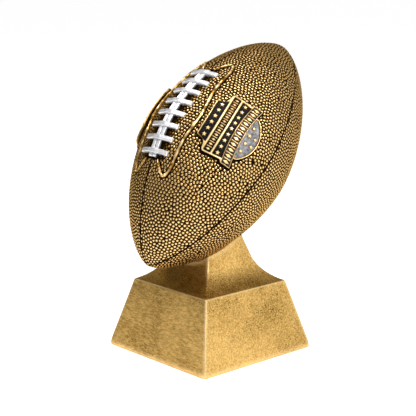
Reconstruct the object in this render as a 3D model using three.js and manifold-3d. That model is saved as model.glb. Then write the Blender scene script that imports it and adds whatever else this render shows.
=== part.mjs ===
// American-football trophy: a hollow ball of two cast halves, clamped by a tie rod to a square
// pyramid base with a flared neck, with inlaid laces and a badge on each side panel.
// Millimetres, +Z up. The origin is the centre of the felt pad's underside. The ball leans back
// towards +Y, and its laces face the front, -Y.

import * as THREE from 'three';
import { mergeVertices } from 'three/addons/utils/BufferGeometryUtils.js';
import Module from 'manifold-3d';

const wasm = await Module();
wasm.setup();

// ---------------------------------------------------------------- driving dimensions

const clearance = 0.3; // between any two pieces that meet

const baseSide = 96;
const baseTopSide = 72;
const baseHeight = 46.8; // table to the top edges of the pyramid
const baseLipHeight = 2.8; // upright band along the foot of the pyramid

const feltMargin = 3; // from the base's edge to the felt
const feltThickness = 1.5;
const feltProud = 0.3; // how far the felt stands below the casting

const neckFootHalf = 25.6; // the neck's straight taper, carried down to the base's top
const neckTaper = THREE.MathUtils.degToRad(18.2);
const neckFlareRadius = 28; // concave flare from the taper out to the base's top edges
const saddleLipWidth = 2.4;
const saddleLipProud = 0.5;

const ballRadius = 49.4;
const ballHalfLength = 89.8;
const ballFullness = 1.807; // exponents of the outline r = R (1 - |s / L|^fullness)^taper
const ballTaper = 0.66;
const ballWall = 4;
const ballTilt = THREE.MathUtils.degToRad(42.2); // from upright, towards +Y
const ballSetBack = 6.6; // ball centre behind the base's centre
const ballDrop = 15.1; // from the base's top edges up to the ball's lowest point

const seamWidth = 1;
const seamDepth = 0.6;

const crossCount = 8;
const crossPitch = 8.85;
const crossLength = 24.2;
const crossWidth = 3.3;
const laceHeight = 2.6; // top of the cross laces above the ball
const strandWidth = 3;
const strandGap = 0.6;
const strandHeight = 1; // top of the spine above the ball
const spineOverhang = 3.5; // spine beyond the centre of the last cross lace
const laceBedDepth = 0.8;
const laceBedMargin = 3; // bare bed beside the spine

const beadRadius = 1;
const beadHalfWidth = 21.3; // from the lace seam, at mid-length
const beadToBadge = 3.6;

const badgeLift = 0.3; // glue line under the badge
const badgeHeight = 2.3;
const badgeFloor = 0.8; // plate left under an enamel field
const enamelThickness = 0.5;

const rodRadius = 3;
const boreClearance = 0.4; // round the rod, in the castings and the washers
const washerRadius = 9;
const washerThickness = 1.2;
const nutAcrossFlats = 10;
const nutThickness = 5;
const rodOverhang = 2; // rod beyond each nut
const rodRecess = 5.2; // from the counterbore's mouth up to the rod's lower end
const counterboreMargin = 2; // round the lower washer
const bossMargin = 1.5; // round the upper washer
const bossHeight = 9; // above the ball's inner wall, at the rod

// ---------------------------------------------------------------- colours

const antiqueGold = { color: 0xb88d4a, roughness: 0.42, metalness: 0.75 };
const ballGold = { color: 0xa9803f, roughness: 0.5, metalness: 0.7 };
const lacquerSilver = { color: 0xd8d9dc, roughness: 0.35, metalness: 0.6 };
const blackEnamel = { color: 0x14120f, roughness: 0.35, metalness: 0 };
const greyEnamel = { color: 0x77777b, roughness: 0.4, metalness: 0.3 };
const zincSteel = { color: 0xa8abae, roughness: 0.35, metalness: 0.9 };
const blackFelt = { color: 0x1c1b1a, roughness: 0.95, metalness: 0 };

// ---------------------------------------------------------------- solids and meshes

function signedVolume(position, index) {
  const corners = [new THREE.Vector3(), new THREE.Vector3(), new THREE.Vector3()];
  let volume = 0;
  for (let i = 0; i < index.length; i += 3) {
    corners.forEach((corner, k) => corner.fromBufferAttribute(position, index[i + k]));
    volume += corners[0].dot(corners[1].clone().cross(corners[2])) / 6;
  }
  return volume;
}

// A closed geometry as a manifold solid, with its faces turned outwards.
function toSolid(geometry) {
  const bare = geometry.clone();
  bare.deleteAttribute('normal');
  bare.deleteAttribute('uv');
  const merged = mergeVertices(bare, 1e-4);
  const position = merged.getAttribute('position');
  const faces = [];
  for (let i = 0; i < merged.index.count; i += 3) {
    const [a, b, c] = [0, 1, 2].map((k) => merged.index.getX(i + k));
    if (a !== b && b !== c && c !== a) faces.push(a, b, c);
  }
  if (signedVolume(position, faces) < 0) faces.reverse();
  return new wasm.Manifold(new wasm.Mesh({
    numProp: 3,
    vertProperties: new Float32Array(position.array),
    triVerts: new Uint32Array(faces),
  }));
}

function addMesh(parent, name, solid, finish) {
  const { vertProperties, triVerts } = solid.getMesh();
  const geometry = new THREE.BufferGeometry();
  geometry.setAttribute('position', new THREE.BufferAttribute(vertProperties, 3));
  geometry.setIndex(new THREE.BufferAttribute(triVerts, 1));
  const mesh = new THREE.Mesh(geometry, new THREE.MeshStandardMaterial(finish));
  mesh.name = name;
  parent.add(mesh);
}

// A profile of [radius, height] points turned about Z.
function latheSolid(profile, segments, startAngle = 0) {
  const points = profile.map(([radius, height]) => new THREE.Vector2(radius, height));
  const geometry = new THREE.LatheGeometry(points, segments, startAngle);
  return toSolid(geometry.rotateX(Math.PI / 2));
}

// A profile of [half width, height] points carried round a square.
function squareSolid(profile) {
  const corners = profile.map(([half, height]) => [half * Math.SQRT2, height]);
  return latheSolid(corners, 4, Math.PI / 4);
}

function cylinderSolid(radius, bottom, top, segments = 32) {
  return latheSolid([[0, bottom], [radius, bottom], [radius, top], [0, top]], segments);
}

function boxSolid(low, high) {
  const size = high.map((value, k) => value - low[k]);
  const geometry = new THREE.BoxGeometry(...size);
  geometry.translate(...low.map((value, k) => value + size[k] / 2));
  return toSolid(geometry);
}

// ---------------------------------------------------------------- the ball's shape and frame

function ballOutline(distance, offset = 0) {
  const share = Math.min(1, Math.abs(distance) / (ballHalfLength + offset));
  return (ballRadius + offset) * (1 - share ** ballFullness) ** ballTaper;
}

// The ball in its own frame, with its long axis on Z and its laces at -Y, grown by an offset.
function ballSolid(offset = 0, aroundSegments = 48, alongSegments = 32) {
  const half = ballHalfLength + offset;
  const profile = [];
  for (let i = 0; i <= alongSegments; i++) {
    const distance = half * Math.sin(Math.PI * (i / alongSegments - 0.5));
    const isTip = i === 0 || i === alongSegments;
    profile.push([isTip ? 0 : ballOutline(distance, offset), distance]);
  }
  return latheSolid(profile, aroundSegments);
}

// How far the tilted ball reaches below its centre.
function ballReachDown() {
  let reach = 0;
  for (let distance = 0; distance < ballHalfLength; distance += 0.1) {
    const depth = distance * Math.cos(ballTilt) + ballOutline(distance) * Math.sin(ballTilt);
    reach = Math.max(reach, depth);
  }
  return reach;
}

const ballCentreHeight = baseHeight + ballDrop + ballReachDown();

const ballGroup = new THREE.Group();
ballGroup.position.set(0, ballSetBack, ballCentreHeight);
ballGroup.rotation.x = -ballTilt;
ballGroup.updateMatrix();

function toBallFrame(solid) {
  return solid.transform(ballGroup.matrix.clone().invert().toArray());
}

function toBaseFrame(solid) {
  return solid.transform(ballGroup.matrix.toArray());
}

// An outline of [across, along] points raised off the ball, between two heights above its surface.
// The angle turns it about the ball's axis, from the laces towards +X.
function ballPatch(outline, angle, low, high) {
  const shape = new THREE.Shape(outline.map(([across, along]) => new THREE.Vector2(across, along)));
  const geometry = new THREE.ExtrudeGeometry(shape, {
    depth: ballRadius * 2,
    bevelEnabled: false,
  });
  const across = new THREE.Vector3(Math.cos(angle), Math.sin(angle), 0);
  const outward = new THREE.Vector3(Math.sin(angle), -Math.cos(angle), 0);
  const along = new THREE.Vector3(0, 0, 1);
  geometry.applyMatrix4(new THREE.Matrix4().makeBasis(across, along, outward));
  return toSolid(geometry).intersect(ballSolid(high)).subtract(ballSolid(low));
}

function rectangle(halfAcross, halfAlong, centreAcross = 0, centreAlong = 0) {
  return [[-1, -1], [1, -1], [1, 1], [-1, 1]].map(([across, along]) => [
    centreAcross + across * halfAcross,
    centreAlong + along * halfAlong,
  ]);
}

// A bar with half-round ends, across the ball.
function roundEndedBar(length, width, centreAlong) {
  const steps = 6;
  const outline = [];
  for (const side of [1, -1]) {
    for (let i = 0; i <= steps; i++) {
      const turn = Math.PI * (i / steps - 0.5);
      outline.push([
        side * (length / 2 - width / 2 + (width / 2) * Math.cos(turn)),
        centreAlong + side * (width / 2) * Math.sin(turn),
      ]);
    }
  }
  return outline;
}

// ---------------------------------------------------------------- base

// Half width of the neck at each height, from the base's top edges up its flare and taper.
function neckProfile(topHeight, grow = 0) {
  const lean = Math.sin(neckTaper);
  const rise = Math.cos(neckTaper);
  const inset = neckFootHalf - baseTopSide / 2;
  const alongTaper = -inset * lean;
  const awayFromTaper = inset * rise;
  const tangent = -alongTaper
    + Math.sqrt(alongTaper ** 2 - inset ** 2 - 2 * neckFlareRadius * awayFromTaper);
  const centreHalf = neckFootHalf - tangent * lean + neckFlareRadius * rise;
  const centreRise = tangent * rise + neckFlareRadius * lean;
  const startTurn = Math.atan2(-centreRise, baseTopSide / 2 - centreHalf);
  const endTurn = Math.atan2(-lean, -rise);
  const steps = 14;
  const profile = [];
  for (let i = 0; i <= steps; i++) {
    const turn = startTurn + (endTurn - startTurn) * (i / steps);
    profile.push([
      centreHalf + neckFlareRadius * Math.cos(turn) + grow,
      baseHeight + centreRise + neckFlareRadius * Math.sin(turn),
    ]);
  }
  const topHalf = neckFootHalf - (topHeight - baseHeight) * Math.tan(neckTaper) + grow;
  profile.push([topHalf, topHeight]);
  return profile;
}

const castingBottom = feltProud;
const feltRecessTop = feltThickness + clearance;
const clampStack = washerThickness + nutThickness + clearance * 2;
const counterboreTop = feltRecessTop + rodRecess + rodOverhang + clampStack;
const counterboreRadius = washerRadius + counterboreMargin;
const bossRadius = washerRadius + bossMargin;
const boreRadius = rodRadius + boreClearance;

function baseCasting() {
  const neckTop = ballCentreHeight - ballRadius * 0.8;
  const half = baseSide / 2;
  const body = squareSolid([
    [0, castingBottom],
    [half, castingBottom],
    [half, baseLipHeight],
    ...neckProfile(neckTop),
    [0, neckTop],
  ]);
  const nearBall = toBaseFrame(ballSolid(clearance + saddleLipWidth));
  const lip = squareSolid([
    [0, baseHeight],
    ...neckProfile(neckTop, saddleLipProud),
    [0, neckTop],
  ]).intersect(nearBall);
  const recessHalf = half - feltMargin + clearance;
  return body
    .add(lip)
    .subtract(toBaseFrame(ballSolid(clearance)))
    .subtract(boxSolid([-recessHalf, -recessHalf, -1], [recessHalf, recessHalf, feltRecessTop]))
    .subtract(cylinderSolid(counterboreRadius, 0, counterboreTop))
    .subtract(cylinderSolid(boreRadius, 0, ballCentreHeight));
}

function feltPad() {
  const half = baseSide / 2 - feltMargin;
  return boxSolid([-half, -half, 0], [half, half, feltThickness]);
}

// ---------------------------------------------------------------- ball halves

// Height of the ball's lower surface on the rod's axis, for the ball grown by an offset.
function ballUndersideAtRod(offset) {
  let height = ballCentreHeight - ballRadius * 2;
  const step = 0.05;
  for (; height < ballCentreHeight; height += step) {
    const rise = height - ballCentreHeight;
    const along = -ballSetBack * Math.sin(ballTilt) + rise * Math.cos(ballTilt);
    const away = Math.abs(-ballSetBack * Math.cos(ballTilt) - rise * Math.sin(ballTilt));
    if (away < ballOutline(along, offset)) break;
  }
  return height;
}

const bossTop = ballUndersideAtRod(-ballWall) + bossHeight;

const badgeAngle = ballAngle(beadHalfWidth) + (beadRadius + beadToBadge) / ballRadius;
const laceHalfRun = (crossPitch * (crossCount - 1)) / 2;
const spineHalfLength = laceHalfRun + spineOverhang;

// The angle about the ball's axis at a distance across from the lace seam.
function ballAngle(across) {
  return Math.asin(across / ballRadius);
}

function seamGroove(fromAlong, toAlong, facing) {
  const reach = ballRadius * 2 * facing;
  const slab = boxSolid(
    [-seamWidth / 2, Math.min(0, reach), fromAlong],
    [seamWidth / 2, Math.max(0, reach), toAlong],
  );
  return slab.subtract(ballSolid(-seamDepth));
}

// One half of the hollow ball: the front half, with the laces, is at -Y in the ball's frame.
function ballHalf(facing) {
  const reach = ballHalfLength * 2;
  const gap = (clearance / 2) * facing;
  const halfSpace = boxSolid(
    [-reach, Math.min(gap, reach * facing), -reach],
    [reach, Math.max(gap, reach * facing), reach],
  );
  return ballSolid().subtract(ballSolid(-ballWall, 32, 20)).intersect(halfSpace);
}

function ballShellFront() {
  const bedHalf = spineHalfWidth + laceBedMargin;
  const bed = ballPatch(rectangle(bedHalf, spineHalfLength + clearance), 0, -laceBedDepth, 1);
  const seamStart = spineHalfLength + 2;
  return ballHalf(-1)
    .subtract(bed)
    .subtract(seamGroove(seamStart, ballHalfLength * 2, -1))
    .subtract(seamGroove(-ballHalfLength * 2, -seamStart, -1));
}

function ballShellRear() {
  const boss = toBallFrame(cylinderSolid(bossRadius, 0, bossTop)).intersect(ballSolid(-ballWall / 2));
  const bore = toBallFrame(cylinderSolid(boreRadius, 0, ballCentreHeight));
  return ballHalf(1)
    .subtract(seamGroove(-ballHalfLength * 2, ballHalfLength * 2, 1))
    .add(boss)
    .subtract(bore);
}

// ---------------------------------------------------------------- laces

const strandCentre = (strandWidth + strandGap) / 2;
const spineHalfWidth = strandCentre + strandWidth / 2;

function laceStrand(side) {
  const outline = rectangle(strandWidth / 2, spineHalfLength, side * strandCentre);
  return ballPatch(outline, 0, clearance - laceBedDepth, strandHeight);
}

function laceCross(number) {
  const along = (number - (crossCount + 1) / 2) * crossPitch;
  const bar = ballPatch(roundEndedBar(crossLength, crossWidth, along), 0, clearance, laceHeight);
  const channel = ballPatch(
    rectangle(spineHalfWidth + clearance, crossWidth, 0, along),
    0,
    -laceBedDepth,
    strandHeight + clearance,
  );
  return bar.subtract(channel);
}

// The bead runs from beside one end of the spine, round the panel's long arc, to the other end.
function laceBead(side) {
  const endAlong = spineHalfLength + 1.2;
  const halfRun = [
    [spineHalfWidth + beadRadius + 1, endAlong],
    [7.5, endAlong + 3],
    [9.7, endAlong + 6.1],
    [12.5, endAlong + 8.3],
    [14.9, endAlong + 6.1],
    [beadHalfWidth * 0.78, endAlong + 0.9],
    [beadHalfWidth * 0.82, endAlong * 0.76],
    [beadHalfWidth * 0.87, endAlong * 0.5],
    [beadHalfWidth * 0.96, endAlong * 0.22],
  ];
  const otherHalf = halfRun.map(([across, along]) => [across, -along]).reverse();
  const route = [...halfRun, [beadHalfWidth, 0], ...otherHalf].map(([across, along]) => {
    const outline = ballOutline(along, clearance);
    return new THREE.Vector3(side * across, -Math.sqrt(outline ** 2 - across ** 2), along);
  });
  const section = new THREE.Shape();
  section.absarc(0, 0, beadRadius, 0, 2 * Math.PI);
  const tube = new THREE.ExtrudeGeometry(section, {
    steps: 48,
    curveSegments: 5,
    bevelEnabled: false,
    extrudePath: new THREE.CatmullRomCurve3(route, false, 'centripetal'),
  });
  return toSolid(tube).subtract(ballSolid(clearance));
}

// ---------------------------------------------------------------- badges

// Badge sizes, across from its top edge (nearest the laces) and along its half width.
const titleTop = 8.4;
const titleBottom = 4.4;
const badgeTop = 17;
const badgeTopHalf = 13.3;
const badgeNeckHalf = 15.8;
const badgeNeckRise = 2.8; // from the title field up to the shoulders' inner ends
const badgeShoulderRise = 0.8; // from the title field up to the shoulders' corners
const shoulderInset = 0.6; // from the banner's ends
const waistInset = 1.4;
const badgeWaist = 2.6;
const bannerTop = 4;
const bannerBottom = 10.8;
const bannerHalf = 21.6;
const bannerBow = 2.5; // rise of the banner's middle towards the laces
const shieldHalf = 15.2;
const shieldTip = 18.3;
const rimWidth = 1.1;
const barWidth = 1.8;

const badgeNeck = titleTop + badgeNeckRise;
const badgeShoulder = titleTop + badgeShoulderRise;
const badgeShoulderHalf = bannerHalf - shoulderInset;
const badgeWaistHalf = bannerHalf - waistInset;
const badgeCentreAngle = badgeAngle + ballAngle(badgeTop);

function bannerArch(across, along) {
  return across - bannerBow * (1 - (along / bannerHalf) ** 2);
}

// The rounded lower edge of the shield, drawn in from the rim by an inset.
function shieldEdge(along, inset = 0) {
  const drop = shieldTip - bannerBottom;
  const radius = (shieldHalf ** 2 + drop ** 2) / (2 * drop);
  const reach = radius - inset;
  return shieldTip - radius + Math.sqrt(reach ** 2 - along ** 2);
}

function badgeOutline() {
  const half = [
    [-badgeTop, badgeTopHalf - 0.8],
    [0.8 - badgeTop, badgeTopHalf],
    [-badgeNeck - 1.4, badgeNeckHalf - 1.4],
    [-badgeNeck, badgeNeckHalf],
    [-badgeNeck + 0.6, badgeShoulderHalf - 2],
    [-badgeShoulder, badgeShoulderHalf],
    [badgeWaist, badgeWaistHalf],
    [bannerTop, bannerHalf],
    [bannerBottom, bannerHalf],
    [bannerArch(bannerBottom, shieldHalf), shieldHalf],
  ];
  const steps = 14;
  const tip = [];
  for (let i = 1; i < steps; i++) {
    const along = shieldHalf * Math.cos((Math.PI * i) / steps);
    tip.push([shieldEdge(along), along]);
  }
  const otherHalf = half.map(([across, along]) => [across, -along]).reverse();
  return [...half, ...tip, ...otherHalf];
}

// A field between two edges, each a function of the place along the ball, drawn in by an inset.
function fieldOutline({ upper, lower, upperHalf, lowerHalf }, inset) {
  const steps = 12;
  const edge = (across, half, shift) => Array.from({ length: steps + 1 }, (_, i) => {
    const along = (half - inset) * ((2 * i) / steps - 1);
    return [across(along) + shift, along];
  });
  return [...edge(upper, upperHalf, inset), ...edge(lower, lowerHalf, -inset).reverse()];
}

const badgeFields = {
  top_enamel: {
    upper: () => rimWidth - badgeTop,
    lower: () => -titleTop - barWidth,
    upperHalf: badgeTopHalf - rimWidth,
    lowerHalf: badgeNeckHalf - rimWidth,
  },
  title_enamel: {
    upper: () => -titleTop,
    lower: () => -titleBottom,
    upperHalf: badgeShoulderHalf - rimWidth - 0.3,
    lowerHalf: badgeShoulderHalf - rimWidth - 0.5,
  },
  star_enamel: {
    upper: () => barWidth - titleBottom,
    lower: (along) => bannerArch(bannerTop, along),
    upperHalf: badgeWaistHalf - rimWidth,
    lowerHalf: badgeWaistHalf - rimWidth - 0.6,
  },
  banner_enamel: {
    upper: (along) => bannerArch(bannerTop, along) + rimWidth,
    lower: (along) => bannerArch(bannerBottom, along) - rimWidth,
    upperHalf: bannerHalf - rimWidth,
    lowerHalf: bannerHalf - rimWidth,
  },
  shield_enamel: {
    upper: (along) => bannerArch(bannerBottom, along),
    lower: (along) => shieldEdge(along, rimWidth),
    upperHalf: shieldHalf - rimWidth,
    lowerHalf: shieldHalf - rimWidth,
  },
};

function badgePatch(outline, side, low, high) {
  const mirrored = outline.map(([across, along]) => [side * across, along]);
  return ballPatch(mirrored, side * badgeCentreAngle, low, high);
}

function badgePlate(side) {
  let plate = badgePatch(badgeOutline(), side, badgeLift, badgeLift + badgeHeight);
  for (const field of Object.values(badgeFields)) {
    const pocket = fieldOutline(field, 0);
    plate = plate.subtract(badgePatch(pocket, side, badgeLift + badgeFloor, badgeHeight * 2));
  }
  return plate;
}

function badgeEnamel(field, side) {
  const low = badgeLift + badgeFloor + clearance;
  return badgePatch(fieldOutline(field, clearance), side, low, low + enamelThickness);
}

// ---------------------------------------------------------------- tie rod, washers and nuts

function nut(bottom) {
  const hexagon = cylinderSolid(nutAcrossFlats / Math.sqrt(3), bottom, bottom + nutThickness, 6);
  return hexagon.subtract(cylinderSolid(rodRadius + clearance, bottom - 1, bottom + nutThickness + 1));
}

function washer(bottom) {
  const disc = cylinderSolid(washerRadius, bottom, bottom + washerThickness);
  return disc.subtract(cylinderSolid(boreRadius, bottom - 1, bottom + washerThickness + 1));
}

const lowerWasherBottom = counterboreTop - clearance - washerThickness;
const lowerNutBottom = lowerWasherBottom - clearance - nutThickness;
const upperWasherBottom = bossTop + clearance;
const upperNutBottom = upperWasherBottom + washerThickness + clearance;

// ---------------------------------------------------------------- assembly

const trophy = new THREE.Group();
trophy.add(ballGroup);

addMesh(trophy, 'base_casting', baseCasting(), antiqueGold);
addMesh(trophy, 'felt_pad', feltPad(), blackFelt);

const rodBottom = lowerNutBottom - rodOverhang;
const rodTop = upperNutBottom + nutThickness + rodOverhang;
addMesh(trophy, 'tie_rod', cylinderSolid(rodRadius, rodBottom, rodTop), zincSteel);
addMesh(trophy, 'lower_washer', washer(lowerWasherBottom), zincSteel);
addMesh(trophy, 'lower_nut', nut(lowerNutBottom), zincSteel);
addMesh(trophy, 'upper_washer', washer(upperWasherBottom), zincSteel);
addMesh(trophy, 'upper_nut', nut(upperNutBottom), zincSteel);

addMesh(ballGroup, 'ball_shell_front', ballShellFront(), ballGold);
addMesh(ballGroup, 'ball_shell_rear', ballShellRear(), ballGold);

for (let number = 1; number <= crossCount; number++) {
  addMesh(ballGroup, `lace_cross_${number}`, laceCross(number), lacquerSilver);
}

for (const [name, side] of [['right', 1], ['left', -1]]) {
  addMesh(ballGroup, `lace_spine_${name}`, laceStrand(side), lacquerSilver);
  addMesh(ballGroup, `lace_bead_${name}`, laceBead(side), antiqueGold);
  addMesh(ballGroup, `badge_${name}_plate`, badgePlate(side), antiqueGold);
  for (const [fieldName, field] of Object.entries(badgeFields)) {
    const finish = fieldName === 'shield_enamel' ? greyEnamel : blackEnamel;
    addMesh(ballGroup, `badge_${name}_${fieldName}`, badgeEnamel(field, side), finish);
  }
}

export default trophy;
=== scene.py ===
"""Looks of the football trophy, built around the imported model.

The ball's pebbled panels, laces, beads and badges are modelled as relief on the ball's surface, in
millimetres in the ball's own frame: its long axis on Z, its laces at -Y. to_row() carries them
into the row frame, and make_piece() turns millimetres into metres.
"""

import math

import bmesh
import bpy
import numpy as np
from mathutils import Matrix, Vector
from mathutils.kdtree import KDTree


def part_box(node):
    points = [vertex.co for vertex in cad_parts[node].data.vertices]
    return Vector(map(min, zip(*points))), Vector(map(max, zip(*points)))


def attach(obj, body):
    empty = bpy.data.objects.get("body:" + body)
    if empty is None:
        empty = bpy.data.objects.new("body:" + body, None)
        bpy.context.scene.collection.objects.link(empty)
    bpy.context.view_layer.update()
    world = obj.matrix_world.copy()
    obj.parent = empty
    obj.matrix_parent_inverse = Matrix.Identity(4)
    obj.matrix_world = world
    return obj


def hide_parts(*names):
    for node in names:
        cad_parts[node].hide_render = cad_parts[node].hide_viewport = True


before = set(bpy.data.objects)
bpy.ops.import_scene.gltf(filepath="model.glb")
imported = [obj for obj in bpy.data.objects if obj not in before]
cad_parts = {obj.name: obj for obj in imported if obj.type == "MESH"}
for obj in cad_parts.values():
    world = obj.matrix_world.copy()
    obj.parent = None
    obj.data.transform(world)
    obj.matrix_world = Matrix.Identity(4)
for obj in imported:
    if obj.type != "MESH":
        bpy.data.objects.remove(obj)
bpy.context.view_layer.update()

MM = 0.001
RANDOM = np.random.RandomState(7)
BODY = "root"

# ---- sizes, in millimetres, and counts

BALL_HALF_LENGTH = 89.8
BALL_FULLNESS = 1.807
BALL_TAPER = 0.66
BALL_TILT = math.radians(42.2)
BALL_WALL = 4.0

PEBBLE_PITCH = 2.35
PEBBLE_RADIUS = 1.7
PEBBLE_DEPTH = 0.85

# Pebble layout, with its lengths in pitches
RING_SPACING = 0.87
SEED_JITTER = 0.45
SPREAD_ROUNDS = 6
SPREAD_REACH = 1.1
SPREAD_PUSH = 0.28  # share of each overlap that one round takes away
CLOSEST_PEBBLES = 0.6
PEBBLE_EDGE = 0.58

PANEL_ROWS = 540
PANEL_COLUMNS = 178
INNER_COLUMNS = 9
COLUMN_CROWDING = 0.12
SEAM_HALF_WIDTH = 0.5
SEAM_DEPTH = 1.1

CROSS_COUNT = 8
CROSS_PITCH = 8.85
CROSS_HALF_LENGTH = 12.1
CROSS_HALF_WIDTH = 1.65
STRAND_HALF_WIDTH = 1.5
STRAND_CENTRE = 1.8
SPINE_HALF_LENGTH = 34.475
SPINE_HALF_WIDTH = STRAND_CENTRE + STRAND_HALF_WIDTH
LACE_BED_MARGIN = 3.0
LACE_BED_DEPTH = 0.15
LACE_UNDERSIDE = -1.0
CROSS_CROWN = 1.75  # top of a cross lace above the ball, beside the spine
CROSS_HUMP = 0.75  # how much higher it is over the spine
STRAND_CROWN = 1.05

BEAD_HALF_WIDTH = 21.3
BEAD_RADIUS = 1.05
BEAD_HEIGHT = -0.15  # the bead's centre above the ball
BEAD_SIDES = 14
BEAD_TO_BADGE = 4.6

BADGE_GRID = 0.17
BADGE_TOP = 17.0
BADGE_RIM_HEIGHT = 2.6
BADGE_FLOOR = 1.2
BADGE_EDGE_ROUND = 0.5
BADGE_SKIRT = 1.1  # how far the plate's outer wall reaches below the ball's surface
BADGE_UNDERSIDE = -1.3
ORNAMENT_STEP = 0.6  # shoulder above the plate's floor
ORNAMENT_RISE = 0.65  # middle above the shoulder
ORNAMENT_SLOPE = 0.35
ENAMEL_GRID = 0.4
ENAMEL_BOTTOM = 1.0
ENAMEL_HEIGHT = 1.6
TOP_FIELD_END = -10.2
TITLE_TOP = -8.4
TITLE_BOTTOM = -4.4
STAR_FIELD_TOP = -2.6
BANNER_TOP = 4.0
BANNER_BOTTOM = 10.8
BANNER_HALF = 21.6
BANNER_BOW = 2.5
BANNER_FRAME = 0.9
SHIELD_HALF = 15.2
SHIELD_TIP = 18.3
RIM = 1.1

BASE_TOP_HALF = 36.0
BASE_TOP = 46.8
LIP_TOP = 2.8
NECK_FOOT_HALF = 25.6
NECK_TAPER = math.radians(18.2)
NECK_FLARE_RADIUS = 28.0
SADDLE_LIP_WIDTH = 2.6
SADDLE_LIP_PROUD = 0.5
FOOT_ROUND = 0.7
SEAT_CLEARANCE = 0.25
RECESS_CLEARANCE = 0.3
PER_SIDE = 56
PER_CORNER = 8
RING_COUNT = 4 * (PER_SIDE + PER_CORNER)
CORNER_WEAR_AND_SHEEN = 1.2  # how far a corner's pale wear and painted highlight reach along a side
NECK_WEAR_AND_SHEEN_HALF = 30.0  # the one half width that all of the neck's corner wear and painted highlight is worked out for
FELT_MARGIN = 3.0
FELT_CELLS = 90

# ---- the ball's frame


def solid_box(name):
    """The low and high corners of a CAD solid's box, in mm."""
    return np.array(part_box(name)) / MM


front_low, front_high = solid_box("ball_shell_front")
rear_low, rear_high = solid_box("ball_shell_rear")
BALL_LOW = np.minimum(front_low, rear_low)
BALL_HIGH = np.maximum(front_high, rear_high)
BALL_CENTRE = (BALL_LOW + BALL_HIGH) / 2
BALL_RADIUS = (BALL_HIGH[0] - BALL_LOW[0]) / 2

base_low, base_high = solid_box("base_casting")
BASE_HALF = (base_high[0] - base_low[0]) / 2
CASTING_BOTTOM = base_low[2]


def to_row(points):
    """Points in the ball's frame, in mm, as points in the row frame, in mm."""
    x, y, z = np.moveaxis(np.asarray(points, float), -1, 0)
    sine, cosine = math.sin(BALL_TILT), math.cos(BALL_TILT)
    return np.stack([x, y * cosine + z * sine, z * cosine - y * sine], -1) + BALL_CENTRE


def to_ball(points):
    """Points in the row frame, in mm, as points in the ball's frame, in mm."""
    x, y, z = np.moveaxis(np.asarray(points, float) - BALL_CENTRE, -1, 0)
    sine, cosine = math.sin(BALL_TILT), math.cos(BALL_TILT)
    return np.stack([x, y * cosine - z * sine, y * sine + z * cosine], -1)


def ball_radius_at(along, offset=0.0):
    share = np.clip(np.abs(along) / (BALL_HALF_LENGTH + offset), 0, 1)
    return (BALL_RADIUS + offset) * (1 - share**BALL_FULLNESS) ** BALL_TAPER


def outline_normal(along):
    """The outline's outward normal at each distance along the axis, as (away, along) parts."""
    step = 0.01
    limit = BALL_HALF_LENGTH - 2 * step
    place = np.clip(along, -limit, limit)
    slope = (ball_radius_at(place + step) - ball_radius_at(place - step)) / (2 * step)
    length = np.sqrt(1 + slope**2)
    return 1 / length, -slope / length


def about_axis(radius, angle, along):
    """Points at a radius from the ball's axis. The angle turns from the laces towards +X."""
    return np.stack([radius * np.sin(angle), -radius * np.cos(angle), along], -1)


def on_ball(angle, along, height):
    """Points at a height above the ball's surface."""
    away, lengthwise = outline_normal(along)
    radius = ball_radius_at(along) + height * away
    return about_axis(radius, angle, along + height * lengthwise)


def flat_angle(across, along):
    """The angle from a patch's middle to a point that lies across from it in its tangent plane."""
    return np.arcsin(np.clip(across / np.maximum(ball_radius_at(along), 1), -1, 1))


def smooth_step(low, high, value):
    share = np.clip((value - low) / (high - low), 0, 1)
    return share * share * (3 - 2 * share)


# ---- meshes


def make_piece(name, points, faces, material, attributes, replaces, slot):
    """A mesh object from points in the row frame, in mm, that rides on the trophy's body."""
    mesh = bpy.data.meshes.new(name)
    points = np.asarray(points, np.float32).reshape(-1, 3) * MM
    sizes = np.concatenate([np.full(len(group), group.shape[1]) for group in faces])
    corners = np.concatenate([group.ravel() for group in faces])
    mesh.vertices.add(len(points))
    mesh.vertices.foreach_set("co", points.ravel())
    mesh.loops.add(len(corners))
    mesh.loops.foreach_set("vertex_index", corners.astype(np.int32))
    mesh.polygons.add(len(sizes))
    starts = np.concatenate([[0], np.cumsum(sizes)[:-1]])
    mesh.polygons.foreach_set("loop_start", starts.astype(np.int32))
    mesh.update(calc_edges=True)
    for key, values in attributes.items():
        attribute = mesh.attributes.new(key, "FLOAT", "POINT")
        attribute.data.foreach_set("value", np.asarray(values, np.float32).ravel())
    turn_outward(mesh)
    mesh.shade_smooth()
    mesh.materials.append(material)
    piece = bpy.data.objects.new(name, mesh)
    bpy.context.scene.collection.objects.link(piece)
    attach(piece, BODY)
    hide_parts(*replaces)
    return piece


def turn_outward(mesh):
    edit = bmesh.new()
    edit.from_mesh(mesh)
    bmesh.ops.recalc_face_normals(edit, faces=edit.faces)
    edit.to_mesh(mesh)
    edit.free()


def grid_faces(rows, columns, start=0):
    """Quads of a grid of points, rows by columns, numbered row by row."""
    corner = np.arange(rows - 1)[:, None] * columns + np.arange(columns - 1)[None, :] + start
    corner = corner.ravel()
    return np.stack([corner, corner + 1, corner + columns + 1, corner + columns], -1)


def tube_faces(rings, sides):
    """Faces of a closed tube of rings of points: the quads of its wall, and a cap at each end."""
    index = np.arange(rings * sides).reshape(rings, sides)
    after = np.roll(index, -1, 1)
    wall = np.stack([index[:-1], after[:-1], after[1:], index[1:]], -1).reshape(-1, 4)
    return [wall, index[0][None, ::-1], index[-1][None, :]]


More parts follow.
